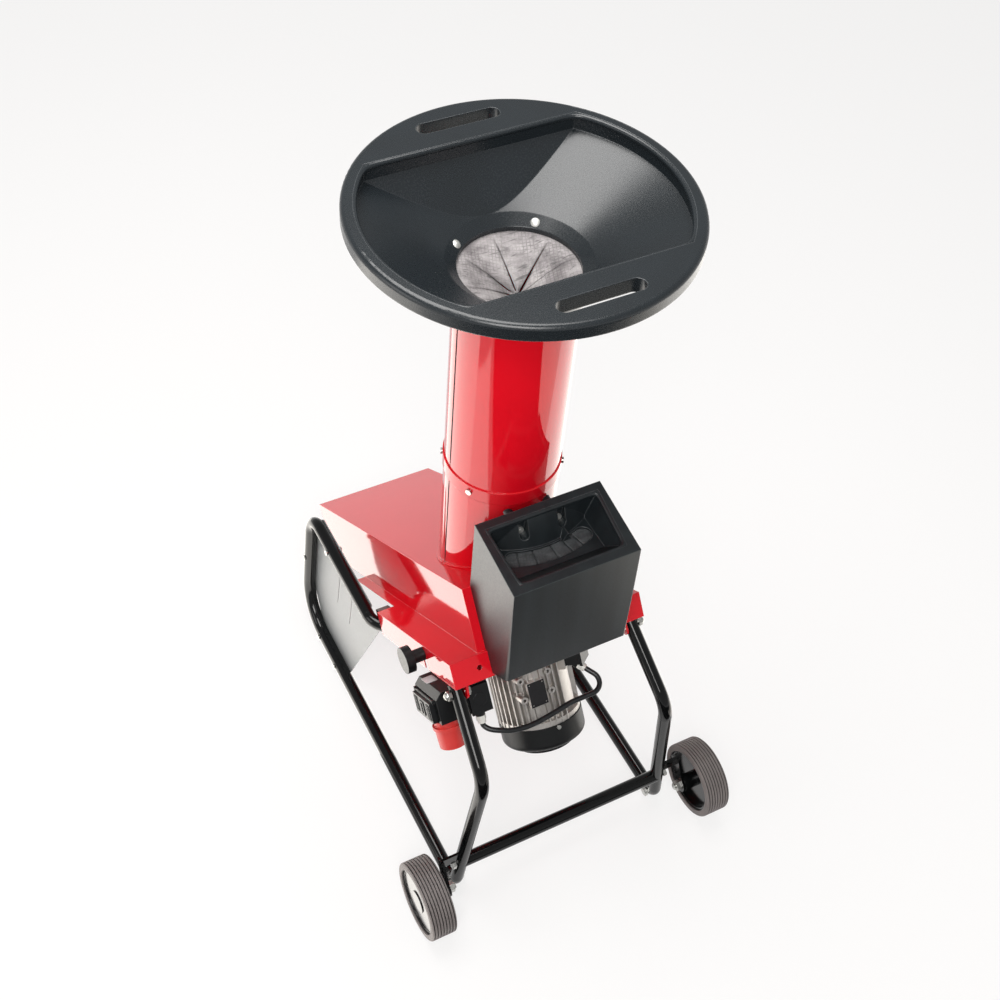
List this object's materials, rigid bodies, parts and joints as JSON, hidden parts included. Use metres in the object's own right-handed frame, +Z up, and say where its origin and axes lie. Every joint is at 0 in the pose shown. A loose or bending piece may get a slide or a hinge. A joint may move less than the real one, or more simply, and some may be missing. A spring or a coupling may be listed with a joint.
{
  "type": "garden wood chipper",
  "caption": "Electric garden shredder: red feed tube with a round funnel and a side hopper on a sloping hood, disc cutter and finned motor below, on a bent tube frame with transport wheels.",
  "frame": {"origin": "bottom centre of the bounding box, on the floor", "axes": "+Z up, +Y from the operator towards the discharge end, X along the wheel axles"},
  "size_m": [0.65, 0.9904, 1.32],
  "materials": {
    "red_paint": "gloss paint",
    "black_paint": "satin paint",
    "guard_paint": "satin paint",
    "zinc": "zinc plated",
    "steel": "ground",
    "laminations": "varnished",
    "aluminium": "cast",
    "black_plastic": "fine grain",
    "grey_plastic": "fine grain",
    "tyre": "ribbed",
    "rubber": "matt",
    "plate": "satin",
    "white_plastic": "satin",
    "light_plastic": "satin",
    "red_plastic": "satin",
    "green_plastic": "satin",
    "brass": "bright",
    "cable_rubber": "satin"
  },
  "bodies": {
    "chassis": {"left_frame": "black_paint", "right_frame": "black_paint", "pipe_caps": "black_plastic", "cross_tube": "black_paint", "cross_bolts": "zinc", "heel_bolts": "zinc", "left_bracket": "black_paint", "right_bracket": "black_paint", "axle_bolts": "zinc", "left_guard": "guard_paint", "right_guard": "guard_paint", "guard_screws": "zinc", "base_plate": "red_paint", "leg_bolts": "zinc", "saddles": "black_paint", "saddle_bolts": "zinc", "hinge_bolts": "zinc", "motor_body": "aluminium", "front_shield": "aluminium", "rear_shield": "aluminium", "stator": "laminations", "bearings": "steel", "fan_cowl": "black_plastic", "motor_bolts": "zinc", "rating_plate": "plate", "terminal_box": "black_plastic", "terminal_lid": "black_plastic", "motor_gland": "white_plastic", "switch_box": "black_plastic", "switch_gland": "white_plastic", "power_inlet": "red_plastic", "inlet_pins": "brass", "motor_cable": "cable_rubber"},
    "left_wheel": {"left_tyre": "tyre", "left_hub": "black_plastic", "left_cap": "black_plastic"},
    "right_wheel": {"right_tyre": "tyre", "right_hub": "black_plastic", "right_cap": "black_plastic"},
    "rotor": {"shaft": "steel", "rotor_core": "laminations", "cooling_fan": "black_plastic", "cutter_disc": "steel", "blades": "steel", "cutter_bolts": "steel"},
    "hood": {"hood": "red_paint", "lower_tube": "red_paint", "upper_tube": "red_paint", "tube_screws": "zinc", "funnel": "grey_plastic", "funnel_flap": "rubber", "funnel_screws": "zinc", "side_hopper": "grey_plastic", "hopper_flap": "rubber", "hopper_screws": "zinc"},
    "lock_knob": {"lock_knob": "black_plastic"},
    "switch_cover": {"switch_cover": "light_plastic"},
    "start_button": {"start_button": "green_plastic"},
    "stop_button": {"stop_button": "red_plastic"}
  },
  "joints": [
    {"name": "left_wheel_spin", "type": "hinge", "parent": "chassis", "child": "left_wheel", "pos_m": [-0.3, -0.41869, 0.0765], "axis": [1, 0, 0], "continuous": true},
    {"name": "right_wheel_spin", "type": "hinge", "parent": "chassis", "child": "right_wheel", "pos_m": [0.3, -0.41869, 0.0765], "axis": [1, 0, 0], "continuous": true},
    {"name": "rotor_spin", "type": "hinge", "parent": "chassis", "child": "rotor", "pos_m": [0, -0.14194, 0.46667], "axis": [0, 0.585, 0.8111], "continuous": true},
    {"name": "hood_hinge", "type": "hinge", "parent": "chassis", "child": "hood", "pos_m": [0, 0.40327, 0.08578], "axis": [-1, 0, 0], "range_deg": [0, 50]},
    {"name": "lock_knob_turn", "type": "hinge", "parent": "chassis", "child": "lock_knob", "pos_m": [-0.2, -0.14864, 0.45054], "axis": [1, 0, 0], "continuous": true},
    {"name": "switch_cover_hinge", "type": "hinge", "parent": "chassis", "child": "switch_cover", "pos_m": [-0.217, -0.21, 0.41589], "axis": [0, 0.8111, -0.585], "range_deg": [0, 95]},
    {"name": "start_press", "type": "slide", "parent": "chassis", "child": "start_button", "axis": [1, 0, 0], "range_m": [0, 0.003]},
    {"name": "stop_press", "type": "slide", "parent": "chassis", "child": "stop_button", "axis": [1, 0, 0], "range_m": [0, 0.003]}
  ]
}
